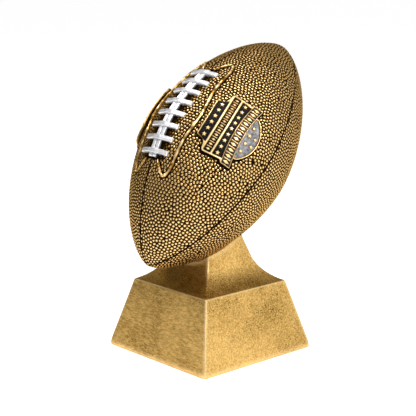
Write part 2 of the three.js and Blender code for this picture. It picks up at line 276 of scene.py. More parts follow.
def slab(name, top, bottom, material, attributes, keep=None, **links):
    """A closed sheet between two grids of points, of all their cells or of those in keep."""
    rows, columns = top.shape[:2]
    if keep is None:
        keep = np.ones((rows - 1, columns - 1), bool)
    number = np.arange(rows * columns).reshape(rows, columns)
    count = rows * columns
    a, b = number[:-1, :-1], number[1:, :-1]
    c, d = number[1:, 1:], number[:-1, 1:]
    padded = np.pad(keep, 1)
    faces = [
        np.stack([a[keep], b[keep], c[keep], d[keep]], -1),
        np.stack([a[keep], d[keep], c[keep], b[keep]], -1) + count,
    ]
    sides = (
        (padded[:-2, 1:-1], a, d),
        (padded[2:, 1:-1], b, c),
        (padded[1:-1, :-2], a, b),
        (padded[1:-1, 2:], d, c),
    )
    for neighbour, first, second in sides:
        edge = keep & ~neighbour
        one, two = first[edge], second[edge]
        faces.append(np.stack([one, two, two + count, one + count], -1))
    used, quads = np.unique(np.concatenate(faces), return_inverse=True)
    quads = quads.reshape(-1, 4)
    points = np.concatenate([top.reshape(-1, 3), bottom.reshape(-1, 3)])[used]
    doubled = {key: np.tile(np.ravel(values), 2)[used] for key, values in attributes.items()}
    return make_piece(name, points, [quads], material, doubled, **links)


def polygon_distance(x, y, polygon):
    """Signed distance from each place to a closed outline, negative inside."""
    nearest = np.full(x.shape, np.inf)
    inside = np.zeros(x.shape, bool)
    for (x0, y0), (x1, y1) in zip(polygon, np.roll(polygon, -1, 0)):
        dx, dy = x1 - x0, y1 - y0
        share = np.clip(((x - x0) * dx + (y - y0) * dy) / (dx * dx + dy * dy + 1e-12), 0, 1)
        nearest = np.minimum(nearest, np.hypot(x - x0 - share * dx, y - y0 - share * dy))
        if dy:
            crosses = (y0 > y) != (y1 > y)
            inside ^= crosses & (x < x0 + (y - y0) / dy * dx)
    return np.where(inside, -nearest, nearest)


# ---- materials


class Nodes:
    """A material's node tree, with short calls for the nodes that the finishes share."""

    def __init__(self, name):
        self.material = bpy.data.materials.new(name)
        self.material.use_nodes = True
        self.tree = self.material.node_tree
        self.shader = self.tree.nodes["Principled BSDF"]

    def add(self, kind, **settings):
        node = self.tree.nodes.new(kind)
        for key, value in settings.items():
            setattr(node, key, value)
        return node

    def put(self, value, target):
        """Link an output to an input, or give the input a plain value."""
        if isinstance(value, bpy.types.NodeSocket):
            self.tree.links.new(value, target)
        elif isinstance(value, tuple):
            target.default_value = (*value, 1)
        else:
            target.default_value = value

    def attribute(self, name):
        return self.add("ShaderNodeAttribute", attribute_name=name).outputs["Fac"]

    def noise(self, scale, detail=3.0, roughness=0.55, stretch=(1, 1, 1), turn=(0, 0, 0)):
        place = self.add("ShaderNodeTexCoord").outputs["Object"]
        mapping = self.add("ShaderNodeMapping")
        mapping.inputs["Scale"].default_value = stretch
        mapping.inputs["Rotation"].default_value = turn
        self.put(place, mapping.inputs["Vector"])
        node = self.add("ShaderNodeTexNoise")
        self.put(mapping.outputs["Vector"], node.inputs["Vector"])
        node.inputs["Scale"].default_value = scale
        node.inputs["Detail"].default_value = detail
        node.inputs["Roughness"].default_value = roughness
        return node.outputs["Fac"]

    def ramp(self, value, stops):
        """A colour ramp from (place, grey or colour) stops."""
        node = self.add("ShaderNodeValToRGB")
        ramp = node.color_ramp
        while len(ramp.elements) < len(stops):
            ramp.elements.new(0.5)
        for element, (place, colour) in zip(ramp.elements, stops):
            element.position = place
            grey = isinstance(colour, (int, float))
            element.color = (colour,) * 3 + (1,) if grey else (*colour, 1)
        self.put(value, node.inputs["Fac"])
        return node.outputs["Color"]

    def mix(self, factor, first, second):
        node = self.add("ShaderNodeMix", data_type="RGBA")
        for value, socket in ((factor, 0), (first, 6), (second, 7)):
            self.put(value, node.inputs[socket])
        return node.outputs[2]

    def math(self, operation, first, second):
        node = self.add("ShaderNodeMath", operation=operation)
        for value, socket in ((first, 0), (second, 1)):
            self.put(value, node.inputs[socket])
        return node.outputs[0]

    def centred(self, noise, reach):
        """Noise turned into a number that varies about zero."""
        return self.math("MULTIPLY", self.math("SUBTRACT", noise, 0.5), reach)

    def bump(self, height, distance, strength):
        node = self.add("ShaderNodeBump")
        node.inputs["Distance"].default_value = distance
        node.inputs["Strength"].default_value = strength
        self.put(height, node.inputs["Height"])
        self.put(node.outputs["Normal"], self.shader.inputs["Normal"])

    def glint(self, level, tint=(1, 1, 1, 1)):
        self.shader.inputs["Specular IOR Level"].default_value = level
        self.shader.inputs["Specular Tint"].default_value = tint

    def finish(self, colour, roughness, metallic):
        self.put(colour, self.shader.inputs["Base Color"])
        self.put(roughness, self.shader.inputs["Roughness"])
        self.put(metallic, self.shader.inputs["Metallic"])
        return self.material


GOLD = (0.355, 0.183, 0.039)
# Pale gold of the relief's tops: wear and a painted highlight.
GOLD_LIGHT = (0.94, 0.69, 0.33)
GOLD_DEEP = (0.17, 0.080, 0.012)
CREVICE = (0.012, 0.006, 0.002)
WARM_TINT = (0.85, 0.63, 0.35, 1)


def relief_gold(name, crevice_end, gold_start, roughness, light):
    """Antique gold, dark in the hollows of its relief, pale on its tops: wear and a painted
    highlight.
    """
    nodes = Nodes(name)
    relief = nodes.attribute("relief")
    grain = nodes.noise(900, detail=4)
    clouds = nodes.ramp(nodes.noise(34, detail=3), [(0.36, 0.0), (0.60, 1.0)])
    cloudy = nodes.math("ADD", nodes.math("MULTIPLY", clouds, 0.45), 0.55)
    tone = nodes.math("MULTIPLY", nodes.attribute("tone"), cloudy)
    ragged = nodes.math("ADD", relief, nodes.centred(grain, 0.25))
    gold = nodes.mix(tone, GOLD_DEEP, GOLD)
    # The tops of the relief turn pale: wear, and a painted highlight on each dome, rim and bead.
    worn_and_highlit = nodes.mix(nodes.ramp(relief, [(0.80, 0.0), (1.0, light)]), gold, GOLD_LIGHT)
    cover = nodes.ramp(ragged, [(crevice_end, 0.0), (gold_start, 1.0)])
    colour = nodes.mix(cover, CREVICE, worn_and_highlit)
    gloss = nodes.ramp(cover, [(0.0, 0.8), (1.0, roughness)])
    nodes.bump(grain, 0.00006, 0.5)
    nodes.glint(0.2, WARM_TINT)
    return nodes.finish(colour, gloss, 0.9)


def satin_gold():
    """Dry-brushed antique gold on the smooth casting: flecks of patina, pale edges that are wear
    with a painted highlight, and painted shade.
    """
    nodes = Nodes("satin_gold")
    clouds = nodes.noise(30, detail=4, roughness=0.6)
    brushed = nodes.noise(850, detail=4, roughness=0.75, stretch=(0.3, 1, 1), turn=(0.6, 0.5, 0.7))
    flecks = nodes.noise(1200, detail=3, roughness=0.6)
    edge = nodes.attribute("edge")
    shade = nodes.attribute("shade")
    streaks = nodes.math("ADD", brushed, nodes.centred(clouds, 0.35))
    tone = nodes.ramp(streaks, [(0.36, 0.0), (0.66, 1.0)])
    gold = nodes.mix(tone, (0.34, 0.200, 0.046), (0.78, 0.50, 0.165))
    crowded = nodes.math("ADD", flecks, nodes.centred(clouds, -0.42))
    # More flecks and a dark brown where the shade attribute is set: painted shade.
    speckle = nodes.math("ADD", crowded, nodes.math("MULTIPLY", shade, 0.10))
    fleck = nodes.ramp(speckle, [(0.61, 0.0), (0.65, 0.9)])
    flecked = nodes.mix(fleck, gold, (0.10, 0.055, 0.012))
    painted_shade = nodes.mix(nodes.math("MULTIPLY", shade, 0.88), flecked, (0.17, 0.072, 0.002))
    # Pale edges: wear, a painted highlight and, on the foot, a painted reflection of the floor.
    colour = nodes.mix(nodes.math("MULTIPLY", edge, 0.48), painted_shade, (0.92, 0.70, 0.38))
    roughness = nodes.ramp(brushed, [(0.3, 0.36), (0.7, 0.50)])
    nodes.bump(nodes.math("ADD", flecks, brushed), 0.00012, 0.7)
    nodes.glint(0.3, WARM_TINT)
    return nodes.finish(colour, roughness, 0.82)


def lace_silver():
    """Silver lacquer with faint threads, with painted shade where a lace's sides go down to the
    ball.
    """
    nodes = Nodes("lace_silver")
    relief = nodes.attribute("relief")
    thread = nodes.noise(900, detail=3, stretch=(0.2, 1, 1), turn=(0.0, 0.3, 0.0))
    threads = nodes.ramp(thread, [(0.35, 0.0), (0.65, 1.0)])
    pale = nodes.mix(threads, (0.66, 0.65, 0.66), (0.94, 0.94, 0.95))
    # Painted shade on a lace's sides and ends, where they go down to the ball.
    lace_unshaded = nodes.ramp(relief, [(0.12, 0.0), (0.6, 1.0)])
    colour = nodes.mix(lace_unshaded, (0.16, 0.14, 0.13), pale)
    nodes.bump(thread, 0.00003, 0.3)
    return nodes.finish(colour, 0.36, 0.7)


def enamel(name, dark, pale, metallic):
    """Painted fill, a little cloudy where it is rubbed."""
    nodes = Nodes(name)
    cloud = nodes.noise(420, detail=4, roughness=0.6)
    colour = nodes.mix(nodes.ramp(cloud, [(0.38, 0.0), (0.68, 1.0)]), dark, pale)
    roughness = nodes.ramp(cloud, [(0.3, 0.36), (0.7, 0.52)])
    nodes.bump(cloud, 0.00012, 0.5)
    nodes.glint(0.08)
    return nodes.finish(colour, roughness, metallic)


def felt_black():
    nodes = Nodes("felt_black")
    fibres = nodes.noise(2600, detail=5, roughness=0.75)
    tone = nodes.ramp(fibres, [(0.3, 0.0), (0.7, 1.0)])
    colour = nodes.mix(tone, (0.008, 0.008, 0.008), (0.035, 0.034, 0.033))
    nodes.bump(fibres, 0.0003, 0.9)
    return nodes.finish(colour, 0.95, 0.0)


def zinc_steel():
    nodes = Nodes("zinc_steel")
    brushed = nodes.noise(900, detail=4, stretch=(1, 1, 0.08))
    colour = nodes.mix(brushed, (0.52, 0.53, 0.55), (0.72, 0.73, 0.75))
    roughness = nodes.ramp(brushed, [(0.3, 0.26), (0.7, 0.42)])
    return nodes.finish(colour, roughness, 0.95)


PEBBLED_GOLD = relief_gold("pebbled_gold", 0.56, 0.84, roughness=0.27, light=0.85)
RAISED_GOLD = relief_gold("raised_gold", 0.12, 0.55, roughness=0.34, light=0.95)
SATIN_GOLD = satin_gold()
LACE_SILVER = lace_silver()
BLACK_ENAMEL = enamel("black_enamel", (0.002, 0.0017, 0.0015), (0.010, 0.009, 0.008), 0.0)
GREY_ENAMEL = enamel("grey_enamel", (0.10, 0.10, 0.105), (0.34, 0.33, 0.34), 0.5)
BANNER_ENAMEL = enamel("banner_enamel", (0.006, 0.0055, 0.005), (0.09, 0.087, 0.09), 0.3)
FELT_BLACK = felt_black()
ZINC_STEEL = zinc_steel()

# ---- bead and badge outlines


def smooth_curve(points, per_span):
    """A centripetal Catmull-Rom curve through points."""
    points = np.asarray(points, float)
    ends = [2 * points[0] - points[1], *points, 2 * points[-1] - points[-2]]
    curve = []
    for p0, p1, p2, p3 in zip(ends, ends[1:], ends[2:], ends[3:]):
        t1 = np.linalg.norm(p1 - p0) ** 0.5
        t2 = t1 + np.linalg.norm(p2 - p1) ** 0.5
        t3 = t2 + np.linalg.norm(p3 - p2) ** 0.5
        t = np.linspace(t1, t2, per_span, endpoint=False)[:, None]
        a1 = (t1 - t) / t1 * p0 + t / t1 * p1
        a2 = (t2 - t) / (t2 - t1) * p1 + (t - t1) / (t2 - t1) * p2
        a3 = (t3 - t) / (t3 - t2) * p2 + (t - t2) / (t3 - t2) * p3
        b1 = (t2 - t) / t2 * a1 + t / t2 * a2
        b2 = (t3 - t) / (t3 - t1) * a2 + (t - t1) / (t3 - t1) * a3
        curve.append((t2 - t) / (t2 - t1) * b1 + (t - t1) / (t2 - t1) * b2)
    return np.concatenate([*curve, points[-1:]])


def bead_route():
    """Points (across, along) of the right bead, from beside one end of the spine to the other."""
    end = SPINE_HALF_LENGTH + 1.2
    half = [
        (SPINE_HALF_WIDTH + 2, end),
        (7.5, end + 3),
        (9.7, end + 6.1),
        (12.5, end + 8.3),
        (14.9, end + 6.1),
        (BEAD_HALF_WIDTH * 0.78, end + 0.9),
        (BEAD_HALF_WIDTH * 0.82, end * 0.76),
        (BEAD_HALF_WIDTH * 0.87, end * 0.5),
        (BEAD_HALF_WIDTH * 0.96, end * 0.22),
    ]
    other = [(across, -along) for across, along in reversed(half)]
    return smooth_curve([*half, (BEAD_HALF_WIDTH, 0), *other], 24)


def banner_arch(across, along):
    """Where across the badge a line is that bows towards the laces at mid-length."""
    return across - BANNER_BOW * (1 - (along / BANNER_HALF) ** 2)


def shield_edge(along, inset=0.0):
    """The arc of the shield's tip, or one inset from it."""
    drop = SHIELD_TIP - BANNER_BOTTOM
    radius = (SHIELD_HALF**2 + drop**2) / (2 * drop)
    return SHIELD_TIP - radius + np.sqrt(np.maximum((radius - inset) ** 2 - along**2, 0))


def badge_outline():
    """The plate's outline as (across, along) points, from the laces' side round to the tip."""
    half = [
        (-BADGE_TOP, 12.3),
        (0.5 - BADGE_TOP, 13.0),
        (-13.0, 13.9),
        (-11.6, 15.0),
        (-10.9, 16.6),
        (-10.3, 19.4),
        (-9.3, 20.9),
        (-7.0, 21.0),
        (2.6, 20.2),
        (BANNER_TOP, BANNER_HALF),
        (BANNER_BOTTOM, BANNER_HALF),
        (banner_arch(BANNER_BOTTOM, SHIELD_HALF), SHIELD_HALF),
    ]
    tip_along = SHIELD_HALF * np.cos(np.linspace(0, np.pi, 25)[1:-1])
    tip = list(zip(shield_edge(tip_along), tip_along))
    other = [(across, -along) for across, along in reversed(half)]
    return np.array([*half, *tip, *other])


def field(upper, lower, upper_half, lower_half):
    """The outline of a painted field between two edges, each a function of the place along."""
    edges = []
    for edge, half in ((upper, upper_half), (lower, lower_half)):
        along = np.linspace(-1, 1, 21) * half
        edges.append(np.stack([np.broadcast_to(edge(along), along.shape), along], -1))
    return np.concatenate([edges[0], edges[1][::-1]])


BADGE_FIELDS = {
    "top_enamel": field(lambda s: RIM - BADGE_TOP, lambda s: TOP_FIELD_END, 12.2, 14.7),
    "title_enamel": field(lambda s: TITLE_TOP, lambda s: TITLE_BOTTOM, 19.6, 19.4),
    "star_enamel": field(
        lambda s: STAR_FIELD_TOP, lambda s: banner_arch(BANNER_TOP, s), 19.1, 18.5
    ),
    "banner_enamel": field(
        lambda s: banner_arch(BANNER_TOP, s) + BANNER_FRAME,
        lambda s: banner_arch(BANNER_BOTTOM, s) - BANNER_FRAME,
        BANNER_HALF - BANNER_FRAME,
        BANNER_HALF - BANNER_FRAME,
    ),
    "shield_enamel": field(
        lambda s: banner_arch(BANNER_BOTTOM, s) + 0.1,
        lambda s: shield_edge(s, RIM),
        SHIELD_HALF - 1.3,
        SHIELD_HALF - 1.3,
    ),
}
FIELD_PAINT = {"shield_enamel": GREY_ENAMEL, "banner_enamel": BANNER_ENAMEL}


def star(across, along, size):
    """A five-pointed star that points back towards the laces."""
    turns = np.pi * (1 + np.arange(10) / 5)
    reach = np.where(np.arange(10) % 2 == 0, size, size * 0.5)
    return np.stack([across + reach * np.cos(turns), along + reach * np.sin(turns)], -1)


LOZENGE = np.array([(-1, 0), (0, 1), (1, 0), (0, -1)])
BAR = np.array([(-1, -1), (-1, 1), (1, 1), (1, -1)])


def lozenges_and_bars(line, half_length, count, half_across, lozenge_half, bar_half):
    """Lozenges and upright bars by turns, along a line given as a function of the place along."""
    shapes = []
    for number, along in enumerate(np.linspace(-half_length, half_length, count)):
        shares, half_along = (BAR, bar_half) if number % 2 else (LOZENGE, lozenge_half)
        shapes.append(shares * (half_across, half_along) + (line(along), along))
    return shapes


def badge_ornaments():
    """Raised stars, and lozenges and bars where a badge would carry lettering."""
    shapes = [star(-12.9, along, 1.75) for along in np.linspace(-11.1, 11.1, 6)]
    shapes += [star(-0.6 + 0.0012 * along**2, along, 1.7) for along in np.linspace(-17.2, 17.2, 9)]
    shapes += [star(10.9, along, 1.65) for along in (-8.6, -3.0, 2.6, 8.2)]
    shapes += [star(15.0, along, 1.6) for along in (-2.8, 2.6)]
    title_middle = (TITLE_TOP + TITLE_BOTTOM) / 2
    banner_middle = (BANNER_TOP + BANNER_BOTTOM) / 2
    shapes += lozenges_and_bars(lambda s: title_middle, 18, 23, 1.7, 0.8, 0.38)
    shapes += lozenges_and_bars(
        lambda s: banner_arch(banner_middle, s), 19.2, 21, 2.5, 1.1, 0.42
    )
    return shapes


def patch_angle(across):
    """The angle round the ball's middle that a distance across from a seam takes up."""
    return math.asin(across / BALL_RADIUS)


BADGE_ANGLE = patch_angle(BEAD_HALF_WIDTH) + BEAD_TO_BADGE / BALL_RADIUS + patch_angle(BADGE_TOP)
BADGE_OUTLINE = badge_outline()
BEAD_ROUTE = bead_route()

# ---- pebbled panels


def meridian():
    """Distance along the ball's axis against distance along its surface from the lower tip."""
    along = BALL_HALF_LENGTH * np.sin(np.linspace(-np.pi / 2, np.pi / 2, 4001))
    radius = ball_radius_at(along)
    run = np.concatenate([[0], np.cumsum(np.hypot(np.diff(along), np.diff(radius)))])
    return run, along


MERIDIAN_RUN, MERIDIAN_ALONG = meridian()


def tree_of(points):
    """A search tree that finds the nearest of these points."""
    tree = KDTree(len(points))
    for number, point in enumerate(points):
        tree.insert(point, number)
    tree.balance()
    return tree


def pebble_seeds():
    """Pebble centres all over the ball: scattered in rings, pushed apart, none left doubled."""
    seeds = []
    rings = int(MERIDIAN_RUN[-1] / (PEBBLE_PITCH * RING_SPACING))
    for ring in range(rings + 1):
        run = ring * MERIDIAN_RUN[-1] / rings
        around = 2 * np.pi * ball_radius_at(np.interp(run, MERIDIAN_RUN, MERIDIAN_ALONG))
        count = max(1, int(round(around / PEBBLE_PITCH)))
        jitter = RANDOM.uniform(-SEED_JITTER, SEED_JITTER, (count, 2))
        angle = (np.arange(count) + 0.5 * (ring % 2) + jitter[:, 0]) / count * 2 * np.pi
        place = np.clip(run + jitter[:, 1] * PEBBLE_PITCH, 0, MERIDIAN_RUN[-1])
        seeds.append(on_ball(angle, np.interp(place, MERIDIAN_RUN, MERIDIAN_ALONG), 0))
    seeds = np.concatenate(seeds)
    for _ in range(SPREAD_ROUNDS):
        tree = tree_of(seeds)
        number = np.array([[hit[1] for hit in tree.find_n(seed, 7)] for seed in seeds])
        apart = seeds[:, None] - seeds[number[:, 1:]]
        distance = np.maximum(np.linalg.norm(apart, axis=2, keepdims=True), 0.01)
        push = np.clip(PEBBLE_PITCH * SPREAD_REACH - distance, 0, None) / distance * apart
        seeds = seeds + SPREAD_PUSH * push.sum(1)
        angle = np.arctan2(seeds[:, 0], -seeds[:, 1])
        seeds = on_ball(angle, np.clip(seeds[:, 2], -BALL_HALF_LENGTH, BALL_HALF_LENGTH), 0)

    tree = tree_of(seeds)
    closest = PEBBLE_PITCH * CLOSEST_PEBBLES
    alone = [
        all(other >= own or apart > closest for _, other, apart in tree.find_n(seed, 3))
        for own, seed in enumerate(seeds)
    ]
    return seeds[alone]


SEEDS = pebble_seeds()
SEED_TREE = tree_of(SEEDS)
SEED_TONE = RANDOM.uniform(0.4, 1.0, len(SEEDS))
SEED_SIZE = RANDOM.uniform(0.9, 1.12, len(SEEDS))
BEAD_TREE = tree_of(on_ball(flat_angle(*BEAD_ROUTE.T), BEAD_ROUTE[:, 1], 0))


def pebbles_at(points):
    """For each point: how far up its pebble's dome it is, 0 to 1, and the pebble's number."""
    near = np.empty(len(points))
    next_near = np.empty(len(points))
    number = np.empty(len(points), int)
    for i, point in enumerate(points):
        (_, number[i], near[i]), (_, _, next_near[i]) = SEED_TREE.find_n(point, 2)
    crown = 1 - np.clip(near / (PEBBLE_RADIUS * SEED_SIZE[number]), 0, 1) ** 2
    edge = np.clip((next_near - near) / (PEBBLE_PITCH * PEBBLE_EDGE), 0, 1)
    return np.sqrt(crown * edge * (2 - edge)), number


def bead_distance(points):
    """Distance from each point to the bead on its own side."""
    mirrored = np.abs(points) * (1, 0, 0) + points * (0, 1, 1)
    return np.array([BEAD_TREE.find(point)[2] for point in mirrored])


def badge_gap(angle, along):
    """Distance to a badge's outline at each place on the ball, capped well away from it."""
    side = np.sign(np.sin(angle))
    plane = ((angle - side * BADGE_ANGLE + np.pi) % (2 * np.pi) - np.pi) * side
    across = ball_radius_at(along) * np.sin(plane)
    facing = (np.cos(plane) > 0.5) & (np.abs(across) < 24) & (np.abs(along) < 27)
    gap = np.full(angle.shape, 9.0)
    gap[facing] = polygon_distance(across[facing], along[facing], BADGE_OUTLINE)
    return gap


def panel_surface(angle, along):
    """Points, relief and tone of the pebbled surface on a grid of angles and places along."""
    shape = angle.shape
    flat = on_ball(angle, along, 0).reshape(-1, 3)
    dome, number = pebbles_at(flat)
    dome = dome.reshape(shape)
    tone = SEED_TONE[number].reshape(shape)

    radius = ball_radius_at(along)
    quarter = np.pi / 2
    to_seam = np.abs((angle + quarter / 2) % quarter - quarter / 2) * radius
    across = radius * np.abs(np.sin(angle))
    lace_side = np.cos(angle) > 0.5
    beyond_spine = smooth_step(0, 3, np.abs(along) - SPINE_HALF_LENGTH)
    seam = 1 - smooth_step(SEAM_HALF_WIDTH * 0.4, SEAM_HALF_WIDTH * 1.5, to_seam)
    seam = np.where(lace_side & (across < 3), seam * beyond_spine, seam)

    bed_half = SPINE_HALF_WIDTH + LACE_BED_MARGIN
    bed_across = 1 - smooth_step(bed_half - 0.6, bed_half + 0.6, across)
    bed_along = 1 - smooth_step(0, 1.4, np.abs(along) - SPINE_HALF_LENGTH - 0.5)
    bed = bed_across * bed_along * lace_side
    # Painted shade on the pebbles between and beside the cross laces, which are also made lower
    # there.
    lace_shade = (1 - smooth_step(bed_half, CROSS_HALF_LENGTH, across)) * bed_along * lace_side
    near_bead = smooth_step(BEAD_RADIUS, BEAD_RADIUS + 0.9, bead_distance(flat).reshape(shape))

    dome = dome * (1 - seam) * (1 - bed) * (1 - 0.35 * lace_shade) * (0.25 + 0.75 * near_bead)
    dome = dome * smooth_step(0.2, 1.3, badge_gap(angle, along))
    height = PEBBLE_DEPTH * (dome - 1) - (SEAM_DEPTH - PEBBLE_DEPTH) * seam - LACE_BED_DEPTH * bed
    return on_ball(angle, along, height), dome, tone


def panel(name, start_angle, **links):
    """One quarter of the ball, as a closed shell with a pebbled outside, finest at its seams."""
    spread = np.linspace(-1, 1, PANEL_COLUMNS)
    crowded = spread * (1 + COLUMN_CROWDING * (1 - spread**2))
    angles = start_angle + np.pi / 4 * (1 + crowded)
    runs = np.linspace(0, MERIDIAN_RUN[-1], PANEL_ROWS + 2)[1:-1]
    places = np.interp(runs, MERIDIAN_RUN, MERIDIAN_ALONG)
    angle, along = np.meshgrid(angles, places)
    outer, relief, tone = panel_surface(angle, along)

    inner_angle, inner_along = np.meshgrid(
        np.linspace(angles[0], angles[-1], INNER_COLUMNS), places
    )
    inner_radius = np.maximum(ball_radius_at(inner_along) - BALL_WALL, 0.15)
    shorter = 1 - BALL_WALL / BALL_HALF_LENGTH
    inner = about_axis(inner_radius, inner_angle, inner_along * shorter)

    outer_count = PANEL_ROWS * PANEL_COLUMNS
    inner_count = PANEL_ROWS * INNER_COLUMNS
    tip_depth = np.array([0.4, 0.4, BALL_WALL, BALL_WALL])
    tips = np.outer((BALL_HALF_LENGTH - tip_depth) * (-1, 1, -1, 1), (0, 0, 1))
    outer_low, outer_high, inner_low, inner_high = outer_count + inner_count + np.arange(4)
    outer_index = np.arange(outer_count).reshape(PANEL_ROWS, PANEL_COLUMNS)
    inner_index = outer_count + np.arange(inner_count).reshape(PANEL_ROWS, INNER_COLUMNS)

    quads = [
        grid_faces(PANEL_ROWS, PANEL_COLUMNS),
        grid_faces(PANEL_ROWS, INNER_COLUMNS, outer_count),
    ]
    triangles = []
    for column in (0, -1):
        one, two = outer_index[:, column], inner_index[:, column]
        quads.append(np.stack([one[:-1], one[1:], two[1:], two[:-1]], -1))
        for row, outer_tip, inner_tip in ((0, outer_low, inner_low), (-1, outer_high, inner_high)):
            triangles.append((one[row], two[row], outer_tip))
            triangles.append((two[row], inner_tip, outer_tip))
    for row, tip in (
        (outer_index[0], outer_low),
        (outer_index[-1], outer_high),
        (inner_index[0], inner_low),
        (inner_index[-1], inner_high),
    ):
        triangles += [(a, b, tip) for a, b in zip(row, row[1:])]

    points = np.concatenate([outer.reshape(-1, 3), inner.reshape(-1, 3), tips])
    hidden = np.zeros(inner_count + 4)
    attributes = {"relief": np.append(relief, hidden), "tone": np.append(tone, hidden)}
    faces = [np.concatenate(quads), np.array(triangles)]
    make_piece(name, to_row(points), faces, PEBBLED_GOLD, attributes, **links)


panel("panel_front_right", 0, replaces=["ball_shell_front"], slot="gold_pebbled")
panel("panel_front_left", -np.pi / 2, replaces=["ball_shell_front"], slot="gold_pebbled")
panel("panel_rear_right", np.pi / 2, replaces=["ball_shell_rear"], slot="gold_pebbled")
panel("panel_rear_left", np.pi, replaces=["ball_shell_rear"], slot="gold_pebbled")

# ---- laces


def lace_sheet(name, across, along, top, relief, **links):
    """A strap on the lace side of the ball, from grids of places and of heights of its top."""
    angle = flat_angle(across, along)
    upper = to_row(on_ball(angle, along, top))
    lower = to_row(on_ball(angle, along, LACE_UNDERSIDE))
    slab(name, upper, lower, LACE_SILVER, {"relief": relief}, slot="silver_lacquer", **links)


def lace_cross(number):
    """A flat strap across the spine, with square ends that tuck into the ball."""
    middle = (number - (CROSS_COUNT + 1) / 2) * CROSS_PITCH
    spread, width = np.meshgrid(np.linspace(-1, 1, 121), np.linspace(-1, 1, 25), indexing="ij")
    narrowing = 1 - 0.06 * np.cos(spread * np.pi / 2) ** 6
    across = spread * CROSS_HALF_LENGTH
    along = middle + width * CROSS_HALF_WIDTH * narrowing
    over_spine = 1 - smooth_step(SPINE_HALF_WIDTH * 0.7, SPINE_HALF_WIDTH * 1.9, np.abs(across))
    crown = CROSS_CROWN + CROSS_HUMP * over_spine - 0.35 * spread**4
    side_round = (1 - np.abs(width) ** 8) ** 0.4
    end_round = (1 - np.abs(spread) ** 50) ** 0.4
    ridges = 0.035 * np.cos(width * np.pi * 6) * side_round
    sunk = 0.9
    top = (crown + sunk) * side_round * end_round - sunk + ridges
    # Low relief on the strap's sides and ends, where the lace material paints shade.
    relief = 0.25 + 0.75 * side_round * end_round
    name = f"cross_lace_{number}"
    lace_sheet(name, across, along, top, relief, replaces=[f"lace_cross_{number}"])


def lace_strand(name, side, **links):
    """One strand of the spine: two rounded cords pressed side by side."""
    spread, width = np.meshgrid(np.linspace(-1, 1, 281), np.linspace(-1, 1, 25), indexing="ij")
    along = spread * (SPINE_HALF_LENGTH + 0.4)
    across = side * STRAND_CENTRE + width * STRAND_HALF_WIDTH
    edge = (1 - np.abs(width) ** 6) ** 0.5
    groove = np.exp(-((width / 0.16) ** 2))
    twist = 0.02 * np.cos(along * 3.5 + 2.5 * np.abs(width))
    end_round = (1 - np.abs(spread) ** 60) ** 0.5
    sunk = 0.85
    top = (STRAND_CROWN + sunk + twist - 0.3 * groove) * edge * end_round - sunk
    # Low relief on the strand's sides and ends, where the lace material paints shade, and a dark
    # line along its groove.
    relief = (1 - 0.4 * groove) * edge * end_round
    lace_sheet(name, across, along, top, relief, **links)


for cross_number in range(1, CROSS_COUNT + 1):
    lace_cross(cross_number)
lace_strand("spine_strand_right", 1, replaces=["lace_spine_right"])
lace_strand("spine_strand_left", -1, replaces=["lace_spine_left"])


def uneven(count, width):
    """A smooth random run of numbers, mostly between -1 and 1."""
    kernel = np.hanning(width + 2)
    noise = np.convolve(RANDOM.normal(size=count), kernel / np.sqrt((kernel**2).sum()), "same")
    return 0.6 * noise


def bead(name, side, **links):
    """A raised gold line, uneven as a cast one is, half sunk into the pebbles."""
    across, along = BEAD_ROUTE.T
    steps = len(across)
    centre = on_ball(flat_angle(across, along), along, BEAD_HEIGHT)
    outward = on_ball(flat_angle(across, along), along, BEAD_HEIGHT + 1) - centre
    forward = np.gradient(centre, axis=0)
    forward /= np.linalg.norm(forward, axis=1, keepdims=True)
    sideways = np.cross(outward, forward)
    turn = np.linspace(0, 2 * np.pi, BEAD_SIDES, endpoint=False)
    run = np.cumsum(np.linalg.norm(np.gradient(centre, axis=0), axis=1))
    lumps = np.clip(uneven(steps, 12), -1, 1)
    patches = np.clip(uneven(steps, 12), -1, 1)
    taper = smooth_step(0, 2.5, run) * smooth_step(0, 2.5, run[-1] - run)
    radius = BEAD_RADIUS * (1 + 0.24 * lumps) * (0.35 + 0.65 * taper)
    rings = (
        centre[:, None]
        + radius[:, None, None] * np.cos(turn)[None, :, None] * outward[:, None]
        + radius[:, None, None] * np.sin(turn)[None, :, None] * sideways[:, None]
    )
    rings[..., 0] *= side
    # Pale along the bead's crown and dark down its flanks: a painted highlight and painted shade,
    # varied at random by patches.
    relief = np.clip(0.35 + 0.7 * np.cos(turn)[None, :] + 0.25 * patches[:, None], 0.1, 1)
    tone = np.repeat(np.clip(0.7 + 0.4 * patches, 0, 1), BEAD_SIDES)
    make_piece(
        name, to_row(rings.reshape(-1, 3)), tube_faces(steps, BEAD_SIDES), RAISED_GOLD,
        {"relief": relief, "tone": tone}, slot="gold_satin", **links,
    )


bead("bead_right", 1, replaces=["lace_bead_right"])
bead("bead_left", -1, replaces=["lace_bead_left"])

# ---- badges


def badge_grid(step):
    """Places across and along a badge, a little past its outline."""
    across = np.arange(-BADGE_TOP - 1.4, SHIELD_TIP + 1.4, step)
    along = np.arange(-BANNER_HALF - 1.4, BANNER_HALF + 1.4, step)
    return np.meshgrid(across, along, indexing="ij")


def badge_slab(name, side, across, along, heights, inside, material, attributes, **links):
    """A sheet between two heights on a badge, of the cells with all four corners inside."""
    angle = side * (BADGE_ANGLE + flat_angle(across, along))
    top, bottom = (to_row(on_ball(angle, along, height)) for height in heights)
    keep = inside[:-1, :-1] & inside[1:, :-1] & inside[1:, 1:] & inside[:-1, 1:]
    slab(name, top, bottom, material, attributes, keep, **links)


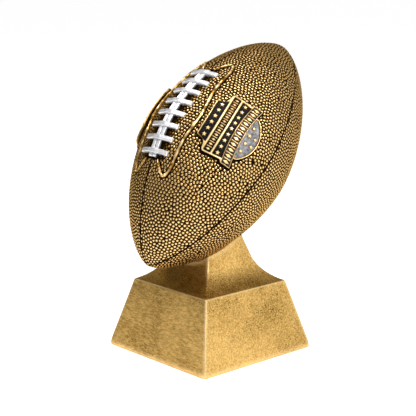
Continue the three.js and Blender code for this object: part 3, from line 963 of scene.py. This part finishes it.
def badge_plate(name, side, **links):
    """The gold plate: rim, bars, banner frame, stars and lozenges in one cast relief."""
    across, along = badge_grid(BADGE_GRID)
    outside = polygon_distance(across, along, BADGE_OUTLINE)
    edge = np.clip(-outside / BADGE_EDGE_ROUND, 0, 1)
    height = (BADGE_RIM_HEIGHT + BADGE_SKIRT) * np.sqrt(1 - (1 - edge) ** 2) - BADGE_SKIRT
    for outline in BADGE_FIELDS.values():
        wall = smooth_step(-0.25, 0.65, polygon_distance(across, along, outline))
        height = np.minimum(height, BADGE_FLOOR + (BADGE_RIM_HEIGHT - BADGE_FLOOR) * wall)
    for outline in badge_ornaments():
        centre = outline.mean(0)
        close = np.hypot(across - centre[0], along - centre[1]) < 3.2
        inside = -polygon_distance(across[close], along[close], outline)
        rise = ORNAMENT_RISE * np.sqrt(np.clip(inside / ORNAMENT_SLOPE, 0, 1))
        raised = np.maximum(height[close], BADGE_FLOOR + ORNAMENT_STEP + rise)
        height[close] = np.where(inside > 0, raised, height[close])
    # Dark on the plate's floor, pale on the tops of its rim, bars and ornaments: patina below,
    # wear and a painted highlight above.
    relief = smooth_step(BADGE_FLOOR + 0.1, BADGE_RIM_HEIGHT - 0.15, height)
    tone = 0.85 + 0.15 * np.sin(across * 1.3) * np.sin(along * 0.9)
    badge_slab(
        name, side, across, along, (height, BADGE_UNDERSIDE), outside < 0.45,
        RAISED_GOLD, {"relief": relief, "tone": tone}, slot="gold_bright", **links,
    )


def badge_field(name, side, outline, paint, **links):
    """Enamel pooled in a recess of the plate, a little higher where it meets the walls."""
    across, along = badge_grid(ENAMEL_GRID)
    distance = polygon_distance(across, along, outline)
    ripple = 0.03 * np.sin(across * 2.1 + 1) * np.sin(along * 1.7)
    height = ENAMEL_HEIGHT + 0.10 * smooth_step(-0.8, 0.1, distance) + ripple
    slot = "grey_enamel" if paint is GREY_ENAMEL else "black_enamel"
    badge_slab(
        name, side, across, along, (height, ENAMEL_BOTTOM), distance < 0.35,
        paint, {}, slot=slot, **links,
    )


for side_name, side_sign in (("right", 1), ("left", -1)):
    badge_plate(f"{side_name}_badge_plate", side_sign, replaces=[f"badge_{side_name}_plate"])
    for field_name, field_outline in BADGE_FIELDS.items():
        badge_field(
            f"{side_name}_badge_{field_name}", side_sign, field_outline,
            FIELD_PAINT.get(field_name, BLACK_ENAMEL),
            replaces=[f"badge_{side_name}_{field_name}"],
        )

# ---- base


def rounded_square(half, corner):
    """Points round a square with round corners, and how near each is to a corner, 0 to 1."""
    flat = half - corner
    reach = flat * np.linspace(-1, 1, PER_SIDE, endpoint=False)
    bend = np.linspace(0, np.pi / 2, PER_CORNER, endpoint=False)
    x = np.concatenate([np.full(PER_SIDE, half), flat + corner * np.cos(bend)])
    y = np.concatenate([reach, flat + corner * np.sin(bend)])
    # Pale corners: wear and a painted highlight.
    worn_and_highlit = 0.5 * np.maximum(0, np.abs(reach) - flat + CORNER_WEAR_AND_SHEEN) / CORNER_WEAR_AND_SHEEN
    quarters = []
    for turn in np.arange(4) * np.pi / 2:
        sine, cosine = np.sin(turn), np.cos(turn)
        quarters.append(np.stack([x * cosine - y * sine, x * sine + y * cosine], -1))
    return np.concatenate(quarters), np.tile(np.append(worn_and_highlit, np.ones(PER_CORNER)), 4)


def neck_flare():
    """Heights above the table and half widths of the neck's concave flare."""
    lean, rise = math.sin(NECK_TAPER), math.cos(NECK_TAPER)
    inset = NECK_FOOT_HALF - BASE_TOP_HALF
    along_taper, away = -inset * lean, inset * rise
    tangent = -along_taper + math.sqrt(along_taper**2 - inset**2 - 2 * NECK_FLARE_RADIUS * away)
    centre_half = NECK_FOOT_HALF - tangent * lean + NECK_FLARE_RADIUS * rise
    centre_rise = tangent * rise + NECK_FLARE_RADIUS * lean
    start = math.atan2(-centre_rise, BASE_TOP_HALF - centre_half)
    end = math.atan2(-lean, -rise)
    turn = np.linspace(start, end, 200)
    half = centre_half + NECK_FLARE_RADIUS * np.cos(turn)
    height = BASE_TOP + centre_rise + NECK_FLARE_RADIUS * np.sin(turn)
    top = BALL_CENTRE[2]
    top_half = NECK_FOOT_HALF - (top - BASE_TOP) * math.tan(NECK_TAPER)
    return np.append(height, top), np.append(half, top_half)


FLARE_HEIGHT, FLARE_HALF = neck_flare()


def neck_half(height):
    return np.interp(height, FLARE_HEIGHT, FLARE_HALF)


def in_ball(points, offset):
    """Which points in the row frame lie inside the ball, grown by an offset."""
    x, y, along = np.moveaxis(to_ball(points), -1, 0)
    return np.hypot(x, y) < ball_radius_at(along, offset)


def ball_underside(x, y, offset):
    """The height at which upright lines at x, y enter the ball, grown by an offset."""
    underside = np.full(len(x), np.nan)
    for height in np.arange(BASE_TOP, BALL_CENTRE[2], 0.1):
        entered = in_ball(np.column_stack([x, y, np.full(len(x), height)]), offset)
        underside[entered & np.isnan(underside)] = height
    return underside


def seat_heights():
    """For each point round the neck, the height at which it meets the ball."""
    seat = np.full(RING_COUNT, np.nan)
    for height in np.arange(BASE_TOP + 5, BASE_TOP + 60, 0.1):
        entered = in_ball(level_ring(neck_half(height), height, 1.0)[0], SEAT_CLEARANCE)
        seat[entered & np.isnan(seat)] = height
    return seat


def level_ring(half, height, corner):
    """A level ring of the casting's surface, and how near each point is to a corner."""
    ring, near = rounded_square(half, corner)
    return np.column_stack([ring, np.full(RING_COUNT, height)]), near


def recess_rings():
    """The felt's recess, from its ceiling down to the table."""
    half = BASE_HALF - FELT_MARGIN + RECESS_CLEARANCE
    ceiling = solid_box("felt_pad")[1, 2] + RECESS_CLEARANCE
    for height, shade in ((ceiling, 1), (CASTING_BOTTOM, 0)):
        yield level_ring(half, height, 0.8)[0], 0, shade


def pyramid_profile():
    """Half width, height and pale edge up the pyramid: foot, upright lip, bend, face and top edge.
    """
    lean = (BASE_HALF - BASE_TOP_HALF) / (BASE_TOP - LIP_TOP)
    # The foot, lip and bend are pale: a painted reflection of the floor.
    for turn in np.linspace(0, math.pi / 2, 6):
        half = BASE_HALF - FOOT_ROUND * (1 - math.sin(turn))
        yield half, CASTING_BOTTOM + FOOT_ROUND * (1 - math.cos(turn)), 0.6
    for height in np.linspace(CASTING_BOTTOM + FOOT_ROUND + 0.3, LIP_TOP - 0.5, 4):
        yield BASE_HALF, height, 0.5
    for rise in (-0.25, 0.15, 0.55):
        yield BASE_HALF - max(0, rise) * lean - 0.05, LIP_TOP + rise, 0.3
    for height in np.linspace(LIP_TOP + 1.4, BASE_TOP - 1.2, 30):
        yield BASE_HALF - (height - LIP_TOP) * lean, height, 0
    # The top edge is pale: wear and a painted highlight.
    top_edge = ((0.7, 0.02, 0.25), (0.35, 0.05, 0.8), (0.12, 0.15, 1), (0, 0.38, 0.9))
    for drop, inset, wear_and_sheen in top_edge:
        yield BASE_TOP_HALF + drop * lean - inset, BASE_TOP - drop, wear_and_sheen


def pyramid_rings():
    """The pyramid, from the table up to its top edge."""
    for half, height, wear_and_sheen in pyramid_profile():
        ring, near = level_ring(half, height, 1.3 if height < LIP_TOP + 1 else 0.8)
        yield ring, np.maximum(near, wear_and_sheen), 0


def neck_rings():
    """The neck, from the top of the pyramid up to the lip of its saddle, just inside the ball."""
    seat = seat_heights()
    start = BASE_TOP + 0.25
    for share in np.linspace(0, 1, 60):
        height = start + (seat + 0.3 - start) * share
        to_seat = seat - height
        lip = SADDLE_LIP_PROUD * np.exp(-((to_seat / SADDLE_LIP_WIDTH) ** 2))
        tuck = 0.5 * smooth_step(0.5, -0.2, to_seat)
        corner = 0.6 + 0.9 * smooth_step(0, 0.5, share)
        x, y = np.transpose([
            rounded_square(half, corner)[0][number]
            for number, half in enumerate(neck_half(height) + lip - tuck)
        ])
        near = rounded_square(NECK_WEAR_AND_SHEEN_HALF, corner)[1]
        # Pale corners are wear and a painted highlight; the pale band just under the ball is a
        # painted highlight.
        corner_wear_and_sheen = 0.55 * near * smooth_step(0.15, 0.6, share)
        lip_highlight = 0.6 * np.exp(-(((to_seat - 1.2) / 1.6) ** 2))
        # Painted shade in the crease at the neck's foot, and painted shadow on the face under the
        # ball's overhang.
        crease = 0.6 * np.exp(-(((height - BASE_TOP) / 6.5) ** 2))
        overhung = 0.7 * smooth_step(0.55, 0.8, -y / np.hypot(x, y))
        ring = np.column_stack([x, y, height])
        yield ring, np.maximum(corner_wear_and_sheen, lip_highlight), np.maximum(crease, overhung)


def seat_rings(rim):
    """The neck's top, hidden under the ball, from its rim inwards."""
    for share in (0.8, 0.55, 0.3, 0.08):
        x, y = (rim[:, :2] * share).T
        yield np.column_stack([x, y, ball_underside(x, y, 0.2)]), 0, 1


def base_casting():
    """Recess, pyramid, neck and seat, lofted as one closed solid."""
    neck = list(neck_rings())
    rings = [*recess_rings(), *pyramid_rings(), *neck, *seat_rings(neck[-1][0])]
    attributes = {
        key: np.concatenate([np.broadcast_to(ring[part], RING_COUNT) for ring in rings])
        for part, key in ((1, "edge"), (2, "shade"))
    }
    make_piece(
        "casting", [ring for ring, _, _ in rings], tube_faces(len(rings), RING_COUNT),
        SATIN_GOLD, attributes, replaces=["base_casting"], slot="gold_satin",
    )


base_casting()


def felt_pad():
    """A square of felt with a soft cut edge."""
    low, high = solid_box("felt_pad")
    x, y = np.meshgrid(*np.linspace(low[:2], high[:2], FELT_CELLS + 1).T, indexing="ij")
    rim = np.minimum(high[0] - np.abs(x), high[1] - np.abs(y))
    droop = 0.25 * (1 - smooth_step(0, 1.5, rim))
    top = np.stack([x, y, high[2] - droop], -1)
    bottom = np.stack([x, y, low[2] + droop], -1)
    pad = slab("felt", top, bottom, FELT_BLACK, {}, replaces=["felt_pad"], slot="felt")


felt_pad()

for node_name in ("tie_rod", "lower_washer", "lower_nut", "upper_washer", "upper_nut"):
    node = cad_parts[node_name]
    node.data.materials.clear()
    node.data.materials.append(ZINC_STEEL)

# ---- floor, light and camera

TARGET = Vector((-0.0007, -0.0008, 0.0957))
CAMERA_AZIMUTH = math.radians(47.7)
CAMERA_ELEVATION = math.radians(11.66)
CAMERA_DISTANCE = 0.7605
CAMERA_LENS = 99.2
SENSOR_WIDTH = 36.0
FLOOR_RADIUS = 14.0
FLOOR_SIDES = 48
LIGHT_AIM = Vector((0, 0, 0.1))
LIGHT_DISTANCE = 1.0
BRIGHT_SIDE = (0.75, 0.25, 0.60)
TENT_REACH = (-0.7, 0.9)  # where along BRIGHT_SIDE the tent is darkest and brightest
TENT_STRENGTH = (0.06, 0.68)


def pale_floor():
    """A round white floor that glows a little, so that it stays white to its far edge."""
    mesh = bpy.data.meshes.new("floor")
    turns = np.arange(FLOOR_SIDES) * 2 * np.pi / FLOOR_SIDES
    ring = [(FLOOR_RADIUS * math.cos(turn), FLOOR_RADIUS * math.sin(turn), 0) for turn in turns]
    mesh.from_pydata(ring, [], [range(FLOOR_SIDES)])
    nodes = Nodes("pale_floor")
    nodes.shader.inputs["Base Color"].default_value = (0.93, 0.93, 0.93, 1)
    nodes.shader.inputs["Emission Color"].default_value = (1, 1, 1, 1)
    nodes.shader.inputs["Emission Strength"].default_value = 0.55
    nodes.shader.inputs["Roughness"].default_value = 0.9
    mesh.materials.append(nodes.material)
    floor = bpy.data.objects.new("floor", mesh)
    bpy.context.scene.collection.objects.link(floor)


def direction(azimuth, elevation):
    """A unit vector from the trophy; azimuth 0 is at -Y and 90 at +X."""
    return Vector((
        math.sin(azimuth) * math.cos(elevation),
        -math.cos(azimuth) * math.cos(elevation),
        math.sin(elevation),
    ))


def aimed(name, data, target, away, distance):
    """A lamp or camera that looks at the target from a distance away."""
    item = bpy.data.objects.new(name, data)
    item.location = target + away * distance
    item.rotation_euler = (-away).to_track_quat("-Z", "Y").to_euler()
    bpy.context.scene.collection.objects.link(item)
    return item


def soft_light(name, azimuth, elevation, size, power):
    data = bpy.data.lights.new(name, "AREA")
    data.shape = "DISK"
    data.size = size
    data.energy = power
    away = direction(math.radians(azimuth), math.radians(elevation))
    aimed(name, data, LIGHT_AIM, away, LIGHT_DISTANCE)


def studio_world():
    """A white tent, brighter behind and to the right than at the front left."""
    world = bpy.data.worlds.new("studio")
    world.use_nodes = True
    tree = world.node_tree
    background = tree.nodes["Background"]
    place = tree.nodes.new("ShaderNodeTexCoord")
    dot = tree.nodes.new("ShaderNodeVectorMath")
    dot.operation = "DOT_PRODUCT"
    dot.inputs[1].default_value = BRIGHT_SIDE
    tree.links.new(place.outputs["Generated"], dot.inputs[0])
    ramp = tree.nodes.new("ShaderNodeMapRange")
    sockets = ("From Min", "From Max", "To Min", "To Max")
    for socket, value in zip(sockets, TENT_REACH + TENT_STRENGTH):
        ramp.inputs[socket].default_value = value
    tree.links.new(dot.outputs["Value"], ramp.inputs["Value"])
    tree.links.new(ramp.outputs["Result"], background.inputs["Strength"])
    background.inputs["Color"].default_value = (1, 1, 1, 1)
    bpy.context.scene.world = world


def camera():
    data = bpy.data.cameras.new("camera")
    data.sensor_width = SENSOR_WIDTH
    data.lens = CAMERA_LENS
    away = direction(CAMERA_AZIMUTH, CAMERA_ELEVATION)
    bpy.context.scene.camera = aimed("camera", data, TARGET, away, CAMERA_DISTANCE)


pale_floor()
studio_world()
soft_light("key_light", azimuth=82, elevation=38, size=0.20, power=5.4)
soft_light("front_light", azimuth=28, elevation=72, size=0.20, power=4.2)
soft_light("left_light", azimuth=-45, elevation=56, size=0.20, power=1.9)
soft_light("back_light", azimuth=130, elevation=22, size=0.45, power=1.1)
camera()

view = bpy.context.scene.view_settings
view.view_transform = "Standard"
view.look = "None"
